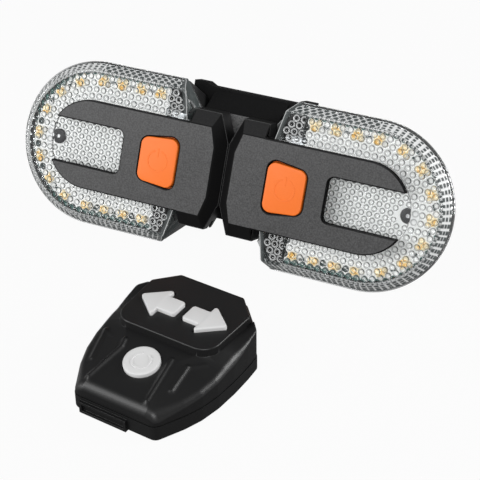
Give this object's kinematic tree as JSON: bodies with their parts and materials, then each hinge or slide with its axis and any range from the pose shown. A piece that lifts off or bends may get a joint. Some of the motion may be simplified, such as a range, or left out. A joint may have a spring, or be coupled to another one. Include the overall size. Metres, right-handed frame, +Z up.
{
  "type": "bicycle turn signal light",
  "caption": "Mirrored amber turn signal lamps with clear ring lenses on a seat-post bracket, with a handlebar remote that has arrow keys and a round key.",
  "frame": {"origin": "on the table, under the middle of the set's bounding box", "axes": "+X towards the right lamp as seen from the front, -Y the way the lamps face, +Z up"},
  "size_m": [0.143, 0.1276, 0.0476],
  "materials": {
    "cover_grey": "fine moulded texture",
    "case_black": "satin",
    "bracket_black": "satin",
    "remote_black": "satin",
    "lens_clear": "clear, dimpled inside",
    "seal_rubber": "plain",
    "pad_rubber": "plain",
    "plug_rubber": "plain",
    "board_white": "white solder mask",
    "led_amber": "amber phosphor in a white body",
    "button_orange": "satin",
    "switch_black": "plain",
    "cell_silver": "foil",
    "coin_silver": "plated",
    "socket_steel": "plated",
    "screw_dark": "blackened",
    "screw_steel": "plated",
    "key_grey": "soft satin",
    "mat_grey": "plain",
    "board_green": "solder mask",
    "dome_steel": "plain",
    "clip_steel": "plated"
  },
  "bodies": {
    "bracket": {"bracket_bar": "bracket_black", "saddle_pad": "pad_rubber"},
    "left_lamp": {"left_front_cover": "cover_grey", "left_lens": "lens_clear", "left_seal": "seal_rubber", "left_rear_shell": "case_black", "left_led_board": "board_white", "left_amber_leds": "led_amber", "left_board_screw": "screw_dark", "left_tact_switch": "switch_black", "left_battery": "cell_silver", "left_usb_socket": "socket_steel", "left_case_screws": "screw_steel"},
    "left_button": {"left_power_button": "button_orange"},
    "left_plug": {"left_usb_plug": "plug_rubber"},
    "right_lamp": {"right_front_cover": "cover_grey", "right_lens": "lens_clear", "right_seal": "seal_rubber", "right_rear_shell": "case_black", "right_led_board": "board_white", "right_amber_leds": "led_amber", "right_board_screw": "screw_dark", "right_tact_switch": "switch_black", "right_battery": "cell_silver", "right_usb_socket": "socket_steel", "right_case_screws": "screw_steel"},
    "right_button": {"right_power_button": "button_orange"},
    "right_plug": {"right_usb_plug": "plug_rubber"},
    "remote": {"remote_top_shell": "remote_black", "remote_base_shell": "remote_black", "key_mat": "mat_grey", "remote_board": "board_green", "key_domes": "dome_steel", "coin_cell": "coin_silver", "cell_clip": "clip_steel", "remote_screws": "screw_steel"},
    "left_key": {"left_arrow_key": "key_grey"},
    "right_key": {"right_arrow_key": "key_grey"},
    "mode_key": {"round_key": "key_grey"}
  },
  "joints": [
    {"name": "left_lamp_slide", "type": "slide", "parent": "bracket", "child": "left_lamp", "axis": [0, 0.4226, 0.9063], "range_m": [0, 0.03]},
    {"name": "left_button_press", "type": "slide", "parent": "left_lamp", "child": "left_button", "axis": [0, 0.9063, -0.4226], "range_m": [0, 0.0008], "stiffness_N_per_m": 1500},
    {"name": "left_plug_pull", "type": "slide", "parent": "left_lamp", "child": "left_plug", "axis": [0, 0.9063, -0.4226], "range_m": [0, 0.006]},
    {"name": "right_lamp_slide", "type": "slide", "parent": "bracket", "child": "right_lamp", "axis": [0, 0.4226, 0.9063], "range_m": [0, 0.03]},
    {"name": "right_button_press", "type": "slide", "parent": "right_lamp", "child": "right_button", "axis": [0, 0.9063, -0.4226], "range_m": [0, 0.0008], "stiffness_N_per_m": 1500},
    {"name": "right_plug_pull", "type": "slide", "parent": "right_lamp", "child": "right_plug", "axis": [0, 0.9063, -0.4226], "range_m": [0, 0.006]},
    {"name": "remote_lift", "type": "slide", "parent": "bracket", "child": "remote", "axis": [0, 0, 1], "range_m": [0, 0.06]},
    {"name": "left_key_press", "type": "slide", "parent": "remote", "child": "left_key", "axis": [0, 0, -1], "range_m": [0, 0.0007], "stiffness_N_per_m": 1200},
    {"name": "right_key_press", "type": "slide", "parent": "remote", "child": "right_key", "axis": [0, 0, -1], "range_m": [0, 0.0007], "stiffness_N_per_m": 1200},
    {"name": "mode_key_press", "type": "slide", "parent": "remote", "child": "mode_key", "axis": [0.0258, 0.1745, -0.9843], "range_m": [0, 0.0007], "stiffness_N_per_m": 1200}
  ]
}
